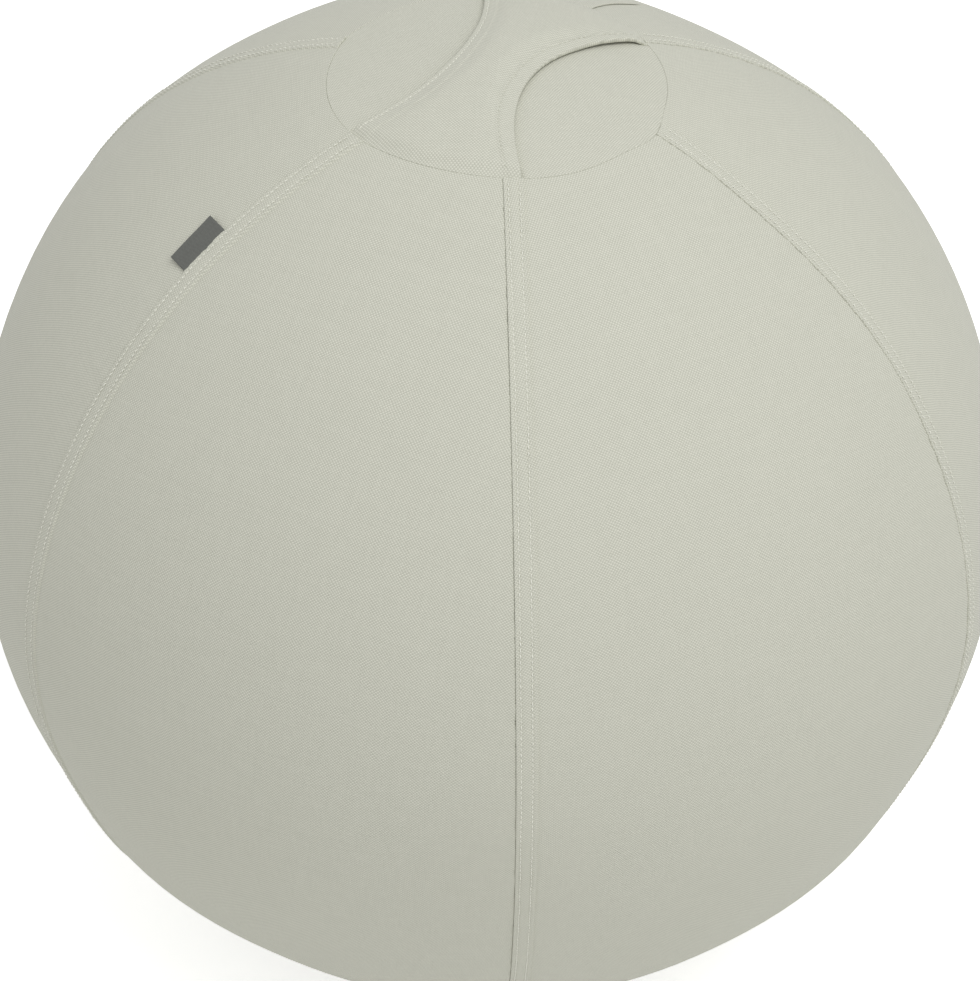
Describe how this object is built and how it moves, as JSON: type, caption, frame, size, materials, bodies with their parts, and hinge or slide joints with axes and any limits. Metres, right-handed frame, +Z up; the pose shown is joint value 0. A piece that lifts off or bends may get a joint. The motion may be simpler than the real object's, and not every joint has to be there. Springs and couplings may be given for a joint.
{
  "type": "sitting ball",
  "caption": "Inflatable ball seat in a sewn woven cover with lapped vertical seams, a round top panel with a cloth carrying handle, a bare side tab and a weighted, zipped base",
  "frame": {"origin": "on the floor, in the middle of the flat patch that the ball stands on, under the ball's centre", "axes": "+Z up along the ball's upright axis; -Y towards the front seam, which faces the viewer; +X to the viewer's right"},
  "size_m": [0.646, 0.6568, 0.6418],
  "materials": {
    "cover_cloth": "matte",
    "base_cloth": "matte",
    "tab_weave": "matte",
    "bladder_vinyl": "satin",
    "valve_vinyl": "satin",
    "zip_tape": "matte",
    "zip_plastic": "satin",
    "zip_metal": "satin",
    "sand": "matte"
  },
  "bodies": {
    "ball": {"cover_panel_1": "cover_cloth", "cover_panel_2": "cover_cloth", "cover_panel_3": "cover_cloth", "cover_panel_4": "cover_cloth", "cover_panel_5": "cover_cloth", "cover_panel_6": "cover_cloth", "top_panel": "cover_cloth", "handle_front_end": "cover_cloth", "handle_back_end": "cover_cloth", "base_panel": "base_cloth", "pocket_lining": "base_cloth", "weight_pouch": "base_cloth", "weight_fill": "sand", "bladder": "bladder_vinyl", "valve_seat": "valve_vinyl", "valve_plug": "valve_vinyl", "zip_tape_upper": "zip_tape", "zip_tape_lower": "zip_tape", "zip_teeth_upper": "zip_plastic", "zip_teeth_lower": "zip_plastic", "zip_stops": "zip_metal"},
    "grip": {"handle_grip": "cover_cloth"},
    "tab": {"side_tab": "tab_weave"},
    "slider": {"zip_slider": "zip_metal"},
    "pull": {"zip_pull": "zip_metal"}
  },
  "joints": [
    {"name": "handle_lift", "type": "slide", "parent": "ball", "child": "grip", "axis": [0, 0, 1], "range_m": [0, 0.02], "deforming": ["handle_front_end", "handle_back_end"]},
    {"name": "tab_flip", "type": "hinge", "parent": "ball", "child": "tab", "pos_m": [-0.17025, -0.09791, 0.57388], "axis": [0.6975, 0.4023, 0.5931], "range_deg": [0, 150]},
    {"name": "zip_run", "type": "hinge", "parent": "ball", "child": "slider", "pos_m": [0, 0, 0.01234], "axis": [0, 0, 1], "range_deg": [-290, 0]},
    {"name": "pull_swing", "type": "hinge", "parent": "slider", "child": "pull", "pos_m": [0.06661, 0.0959, 0.00771], "axis": [0.5331, 0.7675, 0.356], "range_deg": [0, 170]}
  ]
}
